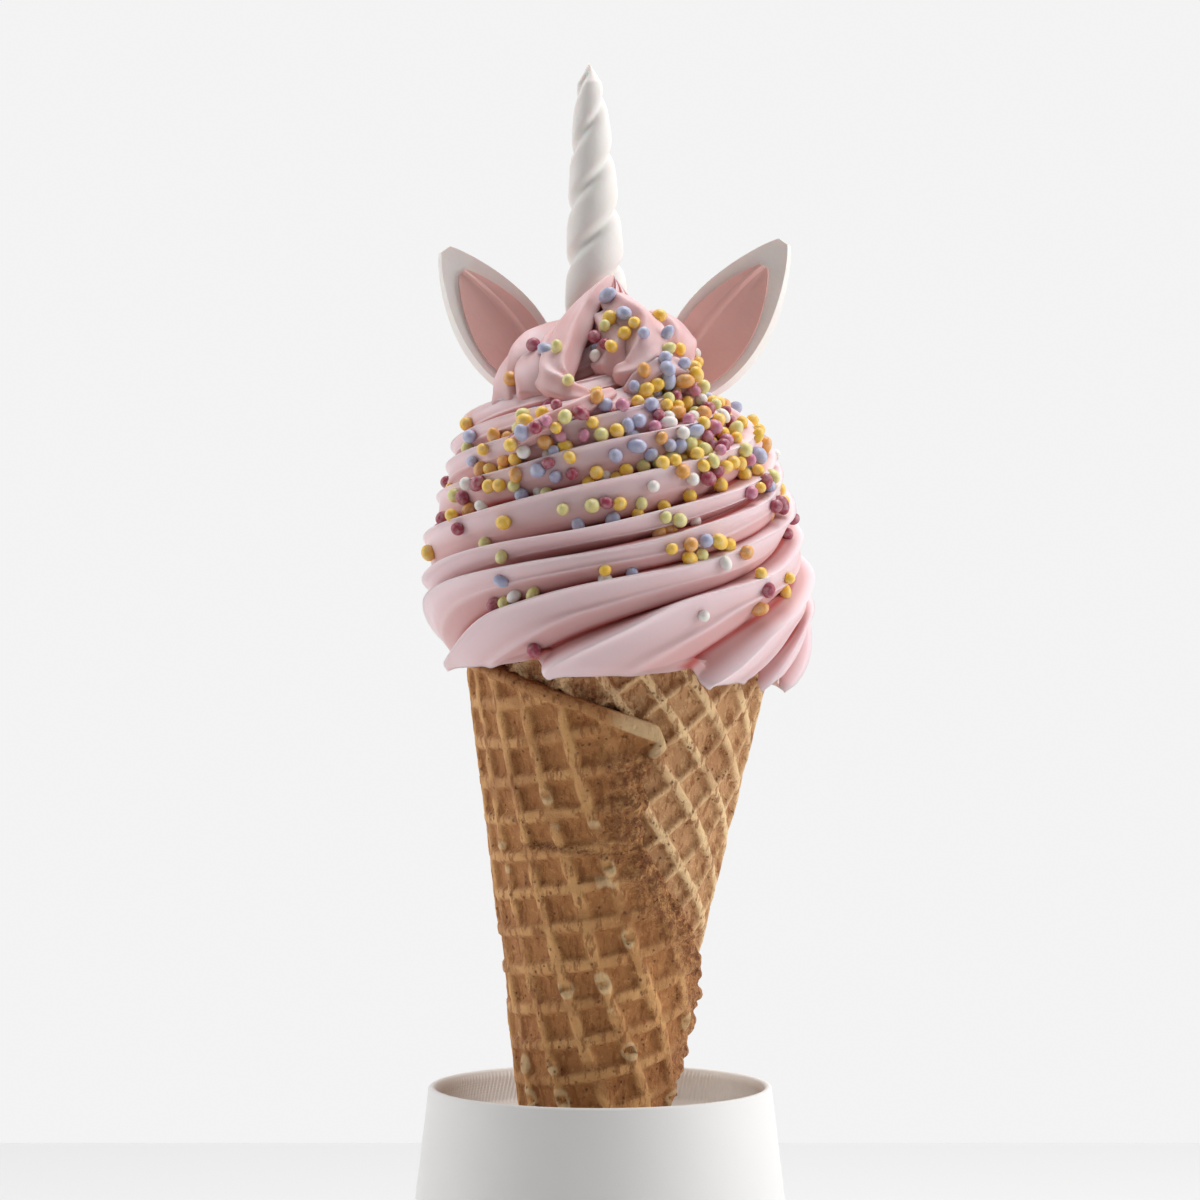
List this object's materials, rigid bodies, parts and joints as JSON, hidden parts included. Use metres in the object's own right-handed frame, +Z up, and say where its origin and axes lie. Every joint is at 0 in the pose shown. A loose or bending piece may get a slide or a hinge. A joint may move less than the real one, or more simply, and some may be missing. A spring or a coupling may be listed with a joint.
{
  "type": "frozen yogurt cone",
  "caption": "Pink piped frozen yogurt with sugar pearls, a fondant horn and ears, on a rolled waffle cone standing in a white holder.",
  "frame": {"origin": "centre of the holder's underside, on the surface that it stands on", "axes": "+Z is up the standing cone towards the horn's tip, -Y is the front that faces the picture's camera, +X is the picture's right"},
  "size_m": [0.081, 0.081, 0.2662],
  "materials": {
    "holder": "matte",
    "waffle": "matte",
    "yogurt": "satin",
    "fondant_white": "matte",
    "fondant_pink": "matte"
  },
  "bodies": {
    "root": {"holder": "holder", "waffle_cone": "waffle", "yogurt": "yogurt", "horn": "fondant_white", "ear_left": "fondant_white", "ear_left_inner": "fondant_pink", "ear_right": "fondant_white", "ear_right_inner": "fondant_pink"}
  },
  "joints": []
}
